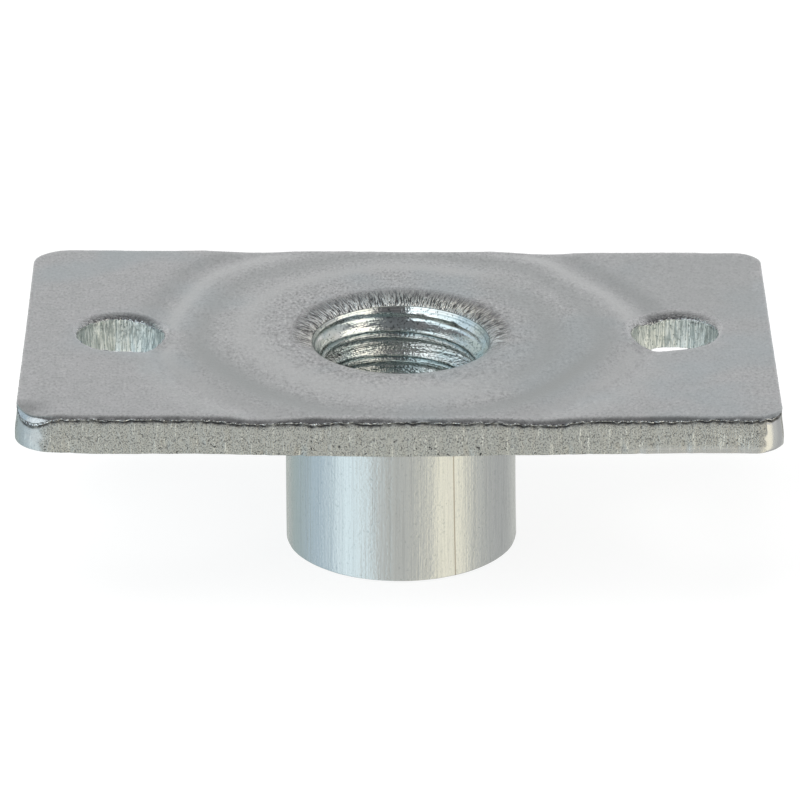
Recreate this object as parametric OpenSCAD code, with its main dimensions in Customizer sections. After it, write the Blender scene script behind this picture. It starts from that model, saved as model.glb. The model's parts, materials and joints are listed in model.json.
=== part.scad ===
// Screw-on tee nut: a blanked steel plate with a threaded collar drawn down out of its middle.
// Millimetres, +Z up. The origin is on the collar's axis, in the plane of the plate's underside,
// which is the face that seats on the panel. X runs along the line of the two screw holes.
// The collar hangs down into its hole, and the screw enters the thread at the mouth on top.

/* [Plate] */
// Length of the plate, along the line of the screw holes
plate_l = 42; // [41:0.5:80]
// Width of the plate
plate_w = 24; // [20:0.5:60]
// Thickness of the sheet
plate_t = 2; // [1.6:0.1:4]
// Radius of the plate's four corners, seen from above
corner_r = 2; // [1:0.1:6]
// Radius that blanking rolls over along the plate's top edge
edge_roll_r = 0.3; // [0.1:0.05:0.8]

/* [Screw holes] */
// Diameter of each screw hole
screw_hole_d = 5; // [3:0.1:6]
// Distance between the centres of the two screw holes
screw_pitch = 31; // [26:0.5:34]
// Radius that punching rolls over at the top of each screw hole
hole_roll_r = 0.35; // [0.1:0.05:0.8]

/* [Collar] */
// Outer diameter of the collar
collar_d = 13; // [12:0.1:16]
// How far the collar reaches below the plate
collar_l = 10.5; // [6:0.5:30]
// Radius round the outside of the collar's free end
collar_end_r = 0.3; // [0.1:0.05:0.8]
// Radius of the inside corner between the collar and the plate's underside
root_r = 0.5; // [0.2:0.1:1]

/* [Thread] */
// Nominal diameter of the thread
thread_d = 10; // [8:0.5:10]
// Pitch of the thread, which sets the bore that it is cut in
thread_pitch = 1.5; // [1:0.25:1.75]
// How much wider than the thread the lead-in cone is where it starts, on the radius
lead_in_margin = 0; // [-0.1:0.05:0.5]
// Full angle of the lead-in cone
lead_in_angle = 60; // [50:5:90]
// How much wider than the thread the chamfer at the lower end is, on the radius
exit_margin = 0.1; // [0.05:0.05:0.3]

/* [Mouth] */
// Radius of the drawn mouth, where the top face turns down into the bore
mouth_r = 2.3; // [1.6:0.1:3]
// How far the mouth turns before the lead-in cone cuts it off
mouth_turn = 40; // [30:1:50]

/* [Draw rings] */
// Radius of the outer draw ring, the shallow groove that crosses the plate's long edges
outer_ring_r = 14; // [12.5:0.1:16]
// Depth of the outer draw ring
outer_ring_depth = 0.15; // [0.05:0.01:0.2]
// Radius of the inner draw ring
inner_ring_r = 10.3; // [9.8:0.1:11]
// Depth of the inner draw ring
inner_ring_depth = 0.08; // [0.04:0.01:0.15]
// Width of each draw ring
ring_w = 3; // [2:0.1:3.4]

/* [Hidden] */
// Round surfaces are drawn with this many sides
$fn = 96;
// What a cutter reaches past the face that it cuts
past = 0.5;

bore_r = (thread_d - thread_pitch) / 2;
collar_r = collar_d / 2;
lead_in_r = thread_d / 2 + lead_in_margin;
exit_r = thread_d / 2 + exit_margin;
mouth_edge_r = lead_in_r + mouth_r * sin(mouth_turn);
lead_in_z = plate_t - mouth_r * (1 - cos(mouth_turn));
lead_in_end_z = lead_in_z - (lead_in_r - bore_r) / tan(lead_in_angle / 2);
exit_z = -collar_l + exit_r - bore_r;

// Section of the plate's rim, from its inner side at x = 0 to the cut edge, with the top edge rolled
module rim_section() {
    square([corner_r, plate_t - edge_roll_r]);
    square([corner_r - edge_roll_r, plate_t]);
    translate([corner_r - edge_roll_r, plate_t - edge_roll_r]) circle(edge_roll_r);
}

// One straight side of the rim, centred on the middle of that side
module rim_bar(length) {
    rotate([90, 0, 0]) linear_extrude(length, center = true) rim_section();
}

// The flat blank: a middle cross of plain sheet, four rim bars and four quarter-turn corners
module blank() {
    core_l = plate_l - 2 * corner_r;
    core_w = plate_w - 2 * corner_r;
    translate([-core_l / 2, -core_w / 2, 0]) cube([core_l, core_w, plate_t]);
    for (side = [0, 180]) rotate([0, 0, side]) {
        translate([core_l / 2, 0, 0]) rim_bar(core_w);
        translate([core_l / 2, core_w / 2, 0]) rotate_extrude(angle = 90) rim_section();
        translate([core_l / 2, -core_w / 2, 0]) rotate([0, 0, -90]) rotate_extrude(angle = 90) rim_section();
        rotate([0, 0, 90]) translate([core_w / 2, 0, 0]) rim_bar(core_l);
    }
}

// Outside of the collar: a tube wall with a rounded free end and a small radius under the plate
module collar_section() {
    difference() {
        translate([0, -collar_l]) square([collar_r, collar_l + plate_t / 2]);
        translate([collar_r - collar_end_r, -collar_l]) square(collar_end_r);
    }
    translate([collar_r - collar_end_r, collar_end_r - collar_l]) circle(collar_end_r);
    difference() {
        translate([collar_r, -root_r]) square(root_r);
        translate([collar_r + root_r, -root_r]) circle(root_r);
    }
}

// What the mouth, the lead-in cone, the thread bore and the exit chamfer take away
module bore_section() {
    top = plate_t + past;
    difference() {
        translate([0, lead_in_z]) square([mouth_edge_r, top - lead_in_z]);
        translate([mouth_edge_r, plate_t - mouth_r]) circle(mouth_r);
    }
    polygon([[0, lead_in_z], [lead_in_r, lead_in_z], [bore_r, lead_in_end_z], [bore_r, exit_z],
             [exit_r, -collar_l], [exit_r, -collar_l - past], [0, -collar_l - past]]);
}

// A screw hole with the rim that the punch rolls over
module screw_hole_section() {
    hole_r = screw_hole_d / 2;
    translate([0, -past]) square([hole_r, plate_t + 2 * past]);
    difference() {
        translate([0, plate_t - hole_roll_r]) square([hole_r + hole_roll_r, hole_roll_r + past]);
        translate([hole_r + hole_roll_r, plate_t - hole_roll_r]) circle(hole_roll_r);
    }
}

// A shallow groove round the mouth, with an arc for its bed
module draw_ring(ring_r, depth) {
    bed_r = (pow(ring_w / 2, 2) + pow(depth, 2)) / (2 * depth);
    rotate_extrude() intersection() {
        translate([ring_r, plate_t - depth + bed_r]) circle(bed_r);
        translate([ring_r - ring_w, plate_t - past]) square([2 * ring_w, 2 * past]);
    }
}

module tee_nut() color("silver") difference() {
    union() {
        blank();
        rotate_extrude() collar_section();
    }
    rotate_extrude() bore_section();
    for (side = [-1, 1]) translate([side * screw_pitch / 2, 0, 0]) rotate_extrude() screw_hole_section();
    draw_ring(outer_ring_r, outer_ring_depth);
    draw_ring(inner_ring_r, inner_ring_depth);
}

tee_nut();
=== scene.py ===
# %% [markdown]
# # A plated tee nut
# This file dresses one pressed part: a sheet-steel plate with two screw holes, whose middle was drawn
# down into a collar and tapped. The solid that holds its sizes comes from the CAD frame. Here the same
# part gets what a plain solid lacks: the torn edge, the cut thread, the marks of the press and the zinc.
# The frame is loaded first, because every size below is read from it.

# %% Load the CAD frame
import json
import math
import bmesh
import bpy
import numpy as np
from mathutils import Matrix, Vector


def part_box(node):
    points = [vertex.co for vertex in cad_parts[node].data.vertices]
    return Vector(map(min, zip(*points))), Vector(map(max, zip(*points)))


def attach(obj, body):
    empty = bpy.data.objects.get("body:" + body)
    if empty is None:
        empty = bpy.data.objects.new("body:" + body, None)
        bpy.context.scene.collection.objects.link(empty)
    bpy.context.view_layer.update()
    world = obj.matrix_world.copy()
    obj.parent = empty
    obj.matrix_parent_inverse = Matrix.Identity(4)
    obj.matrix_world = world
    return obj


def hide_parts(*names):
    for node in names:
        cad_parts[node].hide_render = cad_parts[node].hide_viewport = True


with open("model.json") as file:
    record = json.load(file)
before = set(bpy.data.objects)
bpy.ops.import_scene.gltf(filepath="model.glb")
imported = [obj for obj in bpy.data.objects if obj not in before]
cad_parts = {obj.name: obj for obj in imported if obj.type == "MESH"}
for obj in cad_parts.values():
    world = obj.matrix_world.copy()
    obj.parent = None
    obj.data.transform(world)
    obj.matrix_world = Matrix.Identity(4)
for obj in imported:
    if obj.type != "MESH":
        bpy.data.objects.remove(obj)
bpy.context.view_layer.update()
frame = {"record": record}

# %% [markdown]
# The frame is in metres, with its origin on the collar's axis in the plane of the plate's underside.
# A press shop thinks in millimetres, so all shapes here are worked out in millimetres, and turned into
# metres once, when a mesh is made. The plate's box and the record's mounts give the driving sizes.

# %% Read the driving sizes
MM = 0.001
mounts = {m["name"]: m["dims"] for m in frame["record"]["mounts"]}
nut_low, nut_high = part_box("tee_nut")
plate_half_l = nut_high[0] / MM
plate_half_w = nut_high[1] / MM
top_z = nut_high[2] / MM
collar_end_z = nut_low[2] / MM
collar_r = mounts["collar"]["r_mm"]
bore_r = mounts["thread"]["r_mm"]
hole_r = mounts["screw_holes"]["hole_r_mm"]
hole_x = mounts["screw_holes"]["spacing_x_mm"] / 2
print(f"plate {2 * plate_half_l:.1f} x {2 * plate_half_w:.1f} x {top_z:.1f}")
print(f"collar radius {collar_r}, bore {bore_r}")

# %% [markdown]
# Nothing on a pressed part is perfectly even. A sum of plane waves in many directions gives a smooth
# unevenness that is the same each run, needs no texture, and never shows a seam, because it is read at
# points in space. Squeezing one axis of the points turns it into streaks.

# %% Helpers: smooth steps and seeded unevenness
def smooth_step(x, start, end):
    """Rises from 0 at start to 1 at end as 3t^2 - 2t^3, level outside. It falls when end is below start."""
    t = np.clip((x - start) / (end - start), 0, 1)
    return t * t * (3 - 2 * t)


def ripple(points, wavelength, seed, waves=28):
    """Sum of sine waves of random directions and phases, their lengths within half to twice `wavelength`,
    divided so that a typical value is 1 and the mean is 0."""
    rng = np.random.default_rng(seed)
    heading = rng.normal(size=(waves, 3))
    heading /= np.linalg.norm(heading, axis=1, keepdims=True)
    rate = 2 * np.pi / (wavelength * rng.uniform(0.6, 1.7, waves))
    phase = rng.uniform(0, 2 * np.pi, waves)
    turns = points @ (heading * rate[:, None]).T + phase
    return np.sin(turns).sum(axis=-1) / math.sqrt(waves / 2)


def uneven(points, size, seed):
    """A ripple of a given height and wavelength: size is that pair, in mm."""
    height, wavelength = size
    return height * ripple(points, wavelength, seed)


def stack(x, y, z):
    """Joins three arrays of any matching shapes into one array of points."""
    return np.stack(np.broadcast_arrays(x, y, z), axis=-1).astype(float)


# %% [markdown]
# The part is one closed skin. It is gathered patch by patch: each patch is a grid of points, with the
# index of its finish. Where a fine ring of points meets one with half as many, a row of triangles joins
# them, so small features get small faces without paying for them all over. Points that patches share are
# welded at the end.

# %% Helpers: gather patches into one skin
skin = {"points": [], "wear_and_painted_light": [], "faces": [], "finish": [], "count": 0}


def add_points(points, shade_and_marks=0.0, torn=0.0, polish_and_sheen=0.0):
    """Adds an array of points of shape (..., 3) and returns their numbers in the same shape. Three numbers
    of 0 to 1 travel with each point for the finishes: the first darkens it, as painted shade in creases,
    hollows and on the draw rings and as a few dark lines; torn roughens its relief; the third smooths it
    where the die burnished it, and paints sheen on the draw rings and a highlight on the thread's cone."""
    flat = points.reshape(-1, 3)
    numbers = np.arange(len(flat)) + skin["count"]
    skin["points"].append(flat)
    wear_and_painted_light = [np.broadcast_to(part, points.shape[:-1]).reshape(-1) for part in (shade_and_marks, torn, polish_and_sheen)]
    skin["wear_and_painted_light"].append(np.clip(np.stack(wear_and_painted_light, axis=-1), 0, 1))
    skin["count"] += len(flat)
    return numbers.reshape(points.shape[:-1])


def add_faces(faces, finish):
    """Adds faces, a list of arrays of 3 or 4 point numbers each, all with one finish."""
    faces = np.asarray(faces).tolist()
    skin["faces"].extend(faces)
    skin["finish"].extend([finish] * len(faces))


def add_grid(numbers, finish):
    """One four-sided face between each two rows and each two columns. Every grid here is a closed ring, so
    its last column joins its first."""
    left, right = numbers, np.roll(numbers, -1, axis=1)
    add_faces(np.stack([left[:-1], right[:-1], right[1:], left[1:]], axis=-1).reshape(-1, 4), finish)


def join_two_to_one(fine, coarse, finish):
    """Three triangles for every coarse point, between a ring and one with half its points."""
    f0, f1, f2 = fine[0::2], fine[1::2], np.roll(fine[0::2], -1)
    c0, c1 = coarse, np.roll(coarse, -1)
    corners = ((f0, f1, c0), (f1, c1, c0), (f1, f2, c1))
    add_faces(np.concatenate([np.stack(t, axis=-1) for t in corners]), finish)


# %% [markdown]
# The plate's outline is a rectangle with round corners. A core, smaller by the corner radius, carries a
# pointer of that radius: along a side the pointer keeps its direction while its foot moves, and at a corner
# the foot rests while the pointer turns. So a few piecewise straight functions of one running number give
# every point, and a shorter pointer gives the same outline moved inwards. The die was ground by hand, so
# the corners differ a little.

# %% Plate outline
side_r, front_right_r, back_right_r, back_left_r, front_left_r = 2.0, 1.45, 1.6, 2.0, 2.0
split_x = 12.0
blank_shift = -0.17
middle_n, arm_n, corner_n, end_n = 192, 56, 28, 160
runs = [middle_n, arm_n, corner_n, end_n, corner_n, arm_n] * 2
knots = np.concatenate([[0], np.cumsum(runs)])
rim_n = int(knots[-1])
end_block_n = rim_n // 2 - middle_n
pointer = np.radians([-90, -90, -90, 0, 0, 90, 90, 90, 90, 180, 180, 270, 270])
reach = np.array([side_r, side_r] + [front_right_r] * 2 + [back_right_r] * 2 + [side_r] * 2
                 + [back_left_r] * 2 + [front_left_r] * 2 + [side_r])
foot_l, foot_w = plate_half_l - reach, plate_half_w - reach
foot_x = np.array([-split_x, split_x, *foot_l[2:6], split_x, -split_x, *-foot_l[8:12], -split_x])
foot_y = foot_w * np.array([-1, -1, -1, -1, 1, 1, 1, 1, 1, 1, -1, -1, -1])


def rim_place(step):
    """The running number of the outline's points, one in every `step`, from the front left, turning left."""
    return np.arange(0, rim_n, step)


def outline(place, inset):
    """Foot plus pointer: the outline's point at each running number, moved inwards by inset. Foot, pointer
    length and pointer direction all run straight from knot to knot."""
    turn = np.interp(place, knots, pointer)
    length = np.interp(place, knots, reach) - inset
    x = np.interp(place, knots, foot_x) + length * np.cos(turn)
    y = np.interp(place, knots, foot_y) + length * np.sin(turn)
    return x + blank_shift, y


def from_corner(place):
    """How many points lie between each place and the middle of the nearest corner."""
    along = place % (rim_n // 2)
    first, second = knots[2] + corner_n / 2, knots[4] + corner_n / 2
    return np.minimum(abs(along - first), abs(along - second))


print("outline points:", rim_n)

# %% [markdown]
# Drawing the collar leaves its mark on the whole sheet. The middle sinks a little into a dish, the ring
# that gripped the blank presses a groove round it, and a second, fainter groove lies nearer the mouth.
# All of it is a sum of bell curves over the distance from the axis. The distance is made to waver first,
# so that no ring is a perfect circle.

# %% The sheet's relief
dish_depth, bow_depth = 0.09, 0.01
outer_ring_r, outer_ring_w = 13.9, 1.05
inner_ring_r, inner_ring_w, inner_ring_depth = 11.2, 0.95, 0.04
outer_ring_depth, outer_ring_at_ends, outer_ring_in_front = 0.08, 0.09, 0.07
ring_waver, sheet_waves = (0.14, 8.0), (0.004, 5.0)
dish_r, dish_foot_r = 15.5, 12.5
corner_lifts = (
    # height, where it starts and is full along X, where it is full along Y
    (0.045, 12, 16, -10),
    (-0.065, 5, 8.5, 10),
    (0.005, -9, -12, -10),
    (0.04, -17.5, -19.5, -10),
)


def bell(x, centre, width):
    """exp(-((x - centre) / width)^2): 1 at the centre, nearly 0 two widths away."""
    return np.exp(-(((x - centre) / width) ** 2))


def wavering_r(x, y):
    """Distance from the axis, made to waver by a seventh of a millimetre."""
    return np.hypot(x, y) + uneven(stack(x, y, 0.0), ring_waver, seed=11)


def press_relief(x, y, share=1.0):
    """Height over the flat sheet in mm: minus a dish inside the outer ring, minus the two grooves, plus a
    few hundredths by which each corner sprang up or down. The outer groove is deepest towards the plate's
    ends. `share` weakens the grooves, for the side that lay away from the tool."""
    r = wavering_r(x, y)
    endward = x * x / np.maximum(x * x + y * y, 1e-9)
    frontward = smooth_step(y, plate_half_w, -plate_half_w)
    bow = bow_depth * (1 - (x / plate_half_l) ** 2)
    dish = -frontward * (dish_depth * smooth_step(r, dish_r, dish_foot_r) + bow)
    outer_depth = outer_ring_depth + outer_ring_at_ends * endward + outer_ring_in_front * frontward
    outer = -outer_depth * bell(r, outer_ring_r, outer_ring_w)
    inner = -inner_ring_depth * bell(r, inner_ring_r, inner_ring_w)
    waves = uneven(stack(x, y, 0.0), sheet_waves, seed=12)
    sprung = sum(lift * smooth_step(x, x0, x1) * smooth_step(y, 0, y1) for lift, x0, x1, y1 in corner_lifts)
    return dish + share * (outer + inner + waves) + sprung


def ring_shade(x, y):
    """Painted shade that stands in for the draw rings' relief: two dark rings over the wavering distance from
    the axis, stronger towards the front corners, a darker band round the mouth's right side and a darker
    patch at the right end."""
    r = wavering_r(x, y)
    cornerward = smooth_step(abs(x), 2.0, 8.0) * smooth_step(y, 3.0, -6.0)
    rightward = smooth_step(x / r, 0.3, 0.9)
    rings = (0.55 + 0.45 * cornerward) * bell(r, 11.3, 0.9) + 0.35 * bell(r, 14.8, 0.6)
    dull_end = 0.4 * smooth_step(x, 8, 17) * smooth_step(y, -3, 6)
    return np.clip(rings + dull_end + 0.7 * rightward * bell(r, 8.6, 1.2), 0, 1)


def ring_sheen(x, y):
    """Painted sheen that stands in for the light on the draw rings' relief: a ridge between the two dark
    rings, and a band round the mouth that is widest at the front and fades out at the right."""
    r = wavering_r(x, y)
    backward = y / r
    near_r, near_w = 8.8 + 0.6 * backward, 1.1 - 0.5 * backward
    near = bell(r, near_r, near_w) * smooth_step(x / r, 0.85, 0.3)
    return np.clip(0.6 * bell(r, 13.2, 0.55) + 0.7 * near, 0, 1)


sample_r = np.linspace(7, 18, 12)
print("relief towards the front, mm:", np.round(press_relief(0 * sample_r, -sample_r), 2))

# %% [markdown]
# The two flat faces are covered by three blocks each: one round the collar and one round each screw
# hole. A block's rows run from a circle out to a straight-sided frame, like a spider's web, so that the
# rows near the hole are round and the outer ones are straight. The finish numbers name the materials
# that are made further down.

# %% Plate faces: webs between circles and frames
PLATE, ROLL, SHEARED, SCORED, MOUTH, THREAD, COLLAR = range(7)
face_inset = 0.62
mouth_r = 6.5
hole_roll = {-1: 0.62, 1: 0.76}
punch_r = {-1: hole_r, 1: hole_r - 0.04}
hole_centre = {-1: (-hole_x - 0.29, -0.28), 1: (hole_x - 0.08, 0.14)}


def web(inner, outer, rows):
    """inner + (outer - inner) * t, for t from 0 to 1 in `rows` steps: straight lines from a ring of points
    to a frame with as many points."""
    t = np.linspace(0, 1, rows + 1)[:, None, None]
    return inner + (outer - inner) * t


def ring_points(radius, count, first_angle, centre=(0.0, 0.0)):
    """A circle's points, evenly spaced and turning left, starting at an angle in radians."""
    angle = first_angle + 2 * np.pi * np.arange(count) / count
    return np.stack([centre[0] + radius * np.cos(angle), centre[1] + radius * np.sin(angle)], axis=-1), angle


def middle_frame(step, inset):
    """The frame round the collar's block: front edge, right split line, back edge, left split line."""
    n = middle_n // step
    y = (plate_half_w - inset) * (2 * np.arange(n) / n - 1)
    front = np.stack(outline(np.arange(0, middle_n, step), inset), axis=-1)
    right = np.stack([0 * y + split_x + blank_shift, y], axis=-1)
    half_turn = np.array([2 * blank_shift, 0.0])
    return np.concatenate([front, right, half_turn - front, half_turn - right])


def end_frame(step, inset, side):
    """The frame round one hole's block: the outline's end, then the split line back."""
    n = middle_n // step
    half_n = rim_n // 2
    y = side * (plate_half_w - inset) * (1 - 2 * np.arange(n) / n)
    place = np.arange(middle_n, half_n, step) + (0 if side > 0 else half_n)
    rim = np.stack(outline(place, inset), axis=-1)
    return np.concatenate([rim, np.stack([0 * y + side * split_x + blank_shift, y], axis=-1)])


def end_start_angle(step):
    """The angle that puts the frame's middle point, on the plate's end, straight out along X."""
    count = (end_block_n + middle_n) // step
    return -2 * np.pi * (end_block_n // 2 // step) / count


corner_sag = 0.28
sag_x, sag_y = (-18.6, -20.7), (-9.6, -11.6)


def face_height(x, y, top):
    """The top face lies at the sheet's thickness plus the relief, less a sag at the front left corner. The
    underside lies at the weakened relief."""
    if not top:
        return press_relief(x, y, share=0.1)
    sag = corner_sag * smooth_step(x, *sag_x) * smooth_step(y, *sag_y)
    return top_z + press_relief(x, y) - sag


def face_ring(step, inset, top):
    """A ring of points on one face, along the outline moved inwards."""
    x, y = outline(rim_place(step), inset)
    return add_points(stack(x, y, face_height(x, y, top)))


def add_face_blocks(step, inner_r, hole_gap, rows, top):
    """Adds one side of the plate as three webs, which stop hole_gap outside the screw holes' rolls."""
    middle = middle_frame(step, face_inset)
    inner, _ = ring_points(inner_r, len(middle), -0.75 * np.pi)
    blocks = [(inner, middle)]
    for side in (1, -1):
        end = end_frame(step, face_inset, side)
        turn = end_start_angle(step) + (0 if side > 0 else np.pi)
        hole, _ = ring_points(punch_r[side] + hole_roll[side] + hole_gap, len(end), turn, hole_centre[side])
        blocks.append((hole, end))
    for near, far in blocks:
        plan = web(near, far, rows)
        x, y = plan[..., 0], plan[..., 1]
        # On the top face the mesh carries the draw rings' painted shade and painted sheen.
        dark, bright = (ring_shade(x, y), ring_sheen(x, y)) if top else (0.0, 0.0)
        add_grid(add_points(stack(x, y, face_height(x, y, top)), shade_and_marks=dark, polish_and_sheen=bright), PLATE)


add_face_blocks(2, mouth_r, 0.02, 22, top=True)
print("points after the top face:", skin["count"])

# %% [markdown]
# Blanking cuts the sheet in three stages, and each leaves its own band on the edge: the punch first pulls
# the top face down into a roll, then it shears, and at last the rest tears off. The roll ends in a ragged
# lip over a thin step, darkened by painted shade. So the edge is one profile, given as how far in from the
# outline and how far down each of its rows lies, and every size in it wanders along the edge. At the
# corners the punch drags the roll further down.

# %% Edge of the plate
roll_in, roll_down, lip_angle, lip_tightness = 0.50, 0.165, math.radians(38), 0.10
left_corner_down, right_corner_down = 0.36, 0.06
side_roll_share, back_roll_share, corner_narrowing = 0.20, 0.55, 0.25
lip_step_in, lip_step_down = 0.08, 0.14
tear_depth, streak_depth = 0.06, 0.007
flare_front, flare_corner = 0.09, 0.15
burr_r, left_burr_r, right_burr_r = 0.05, 0.07, 0.22
burr_drop_x, burr_drop = [-20, -17, -7, 0, 6, 9, 14], [0.06, 0.15, 0.12, 0.19, 0.07, 0.10, 0.07]
under_inset = 0.45
slow_wander, fast_wander, width_wander, foot_wander = (0.035, 2.2), (0.012, 0.55), (0.03, 3.0), (0.06, 1.5)
ragged_height = 0.020


def roll_curve(turn):
    """A roll's run inwards and drop, each of 0 to 1, where its surface has turned by each angle: an arc up to
    lip_angle, and from there to upright an arc lip_tightness times as wide."""
    wide, tight = np.minimum(turn, lip_angle), np.maximum(turn, lip_angle)
    run = np.sin(wide) + lip_tightness * (np.sin(tight) - math.sin(lip_angle))
    drop = 1 - np.cos(wide) + lip_tightness * (math.cos(lip_angle) - np.cos(tight))
    return run / run[-1], drop / drop[-1]


place = rim_place(1)[None, :]
edge_x, edge_y = outline(place, 0.0)
edge_points = stack(edge_x, edge_y, 0.0)
inner_x, inner_y = outline(place, face_inset)
edge_top = face_height(inner_x, inner_y, True)
edge_under = face_height(*outline(place, under_inset), False)
corner = smooth_step(from_corner(place), corner_n * 0.75, corner_n * 0.35)
frontward = smooth_step(edge_y, plate_half_w, -0.9 * plate_half_w)
facing_back = np.sin(np.interp(place, knots, pointer))
facing_front = np.clip(-facing_back, 0, 1)
fullness = np.maximum(side_roll_share + (1 - side_roll_share) * facing_front, back_roll_share * facing_back)
tuck = smooth_step(from_corner(place), 15, 3) * frontward
dragged = np.where(edge_x > 0, right_corner_down, left_corner_down)
corner_down = dragged * tuck * smooth_step(facing_front, 0.05, 0.55)
wander = uneven(edge_points, slow_wander, seed=21) + uneven(edge_points, fast_wander, seed=22)
down = (roll_down + wander) * fullness + corner_down
narrower = 1 - corner_narrowing * tuck * (edge_x < 0)
across = (roll_in + uneven(edge_points, width_wander, seed=23)) * fullness * narrower

arc = np.radians([0, 9, 18, 27, 36, 49, 63, 76, 90])[:, None]
run, drop = roll_curve(arc)
ragged = ragged_height * smooth_step(arc, 0.5, 1.0) * frontward * fullness
roll_inset = across * (1 - run) + ragged * ripple(edge_points, 0.35, seed=24)
roll_z = edge_top - down * drop + ragged * ripple(edge_points, 0.4, seed=25)
lip_inset = roll_inset[-1:] + np.array([[0.25], [1.0], [0.9]]) * lip_step_in
lip_z = roll_z[-1:] - np.array([[0.3], [0.6], [1.0]]) * lip_step_down

fall = np.linspace(0.05, 1, 10)[:, None]
hangs = burr_drop[0] + (np.interp(edge_x, burr_drop_x, burr_drop) - burr_drop[0]) * frontward
burr_foot = edge_under - hangs * (1 + uneven(edge_points, foot_wander, seed=28))
foot_r = burr_r + (np.where(edge_x > 0, right_burr_r, left_burr_r) - burr_r) * tuck
shear_z = lip_z[-1:] + (burr_foot + foot_r - lip_z[-1:]) * fall
shear_points = stack(edge_x, edge_y, shear_z)
streaked = shear_points * (1, 1, 0.12)
chips = np.clip(ripple(shear_points * (1, 1, 0.6), 0.9, seed=26) - 1.2, 0, 2) * smooth_step(fall, 0.3, 0.8)
flare = (flare_front + (flare_corner - flare_front) * corner) * smooth_step(fall, 0.0, 0.8)
shear_inset = 0.022 - flare + streak_depth * ripple(streaked, 0.45, seed=27) * (1 - 0.7 * corner)
shear_inset = shear_inset + tear_depth * chips * (1 - corner)
burr_turn = np.radians([30, 60, 90])[:, None]
burr_inset = shear_inset[-1:] + foot_r * (1 - np.cos(burr_turn))
burr_z = burr_foot + foot_r * (1 - np.sin(burr_turn))

profile_inset = np.concatenate([roll_inset, lip_inset, shear_inset, burr_inset])
profile_z = np.concatenate([roll_z, lip_z, shear_z, burr_z])
lip_line = np.clip(0.9 + 0.2 * ripple(edge_points, 0.4, seed=29), 0, 1)
# Painted shade: near-black in the step under the lip, faint on the rows on either side.
shade_and_marks = np.zeros_like(profile_z)
shade_and_marks[len(arc) - 1 : len(arc) + 4] = lip_line * np.array([[0.15], [1.0], [1.0], [0.9], [0.15]])
torn = np.concatenate([smooth_step(arc, 0.62, 0.95) + 0 * roll_z, 1 + 0 * lip_z, 0 * shear_z, 0 * burr_z])
patch_edge = from_corner(place) + 0.8 * ripple(shear_points, 0.6, seed=30)
burnished = smooth_step(patch_edge, 9.5, 7.5) * np.where(edge_x > 0, 1.0, 0.5)
foot_strip = 0.6 * smooth_step(edge_x, 11.0, 14.0) * smooth_step(fall, 0.72, 0.88)
burnished = np.maximum(burnished, foot_strip)
polish_and_sheen = np.concatenate([0 * roll_z, 0 * lip_z, burnished, 0 * burr_z + burnished[-1:]])
rim_numbers = add_points(stack(*outline(place, profile_inset), profile_z), shade_and_marks, torn, polish_and_sheen)
rows = np.cumsum([len(arc), len(lip_inset), len(shear_inset)])
add_grid(rim_numbers[: rows[0]], ROLL)
add_grid(rim_numbers[rows[0] - 1 : rows[1] + 1], SHEARED)
add_grid(rim_numbers[rows[1] :], SHEARED)
print("edge points:", rim_numbers.size)

# %% [markdown]
# The edge needs far more points than the flat faces do. Rows of triangles halve them, once on the top face
# and twice on the underside, which is plain.

# %% Join the edge to both faces
top_ring = face_ring(2, face_inset, True)
join_two_to_one(rim_numbers[0], top_ring, PLATE)
mid_ring = face_ring(2, 0.5 * (under_inset + face_inset), False)
low_ring = face_ring(4, face_inset, False)
join_two_to_one(rim_numbers[-1], mid_ring, PLATE)
join_two_to_one(mid_ring, low_ring, PLATE)

# %% [markdown]
# The screw holes are punched from above, so they have the same bands turned inwards: a roll at the top
# with a ragged lip, then a wall scored with upright furrows that widen into cracks where the slug tore
# away. The wall is a profile carried round a circle, its radius changed by streaks.

# %% Screw holes
hole_down, near_roll_share = 0.26, 0.2
furrow_depth, crack_depth = 0.022, 0.05
down_wander, hole_ragged_height, wall_step_out = (0.02, 1.4), 0.02, 0.03
hole_roll_n = 9


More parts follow.
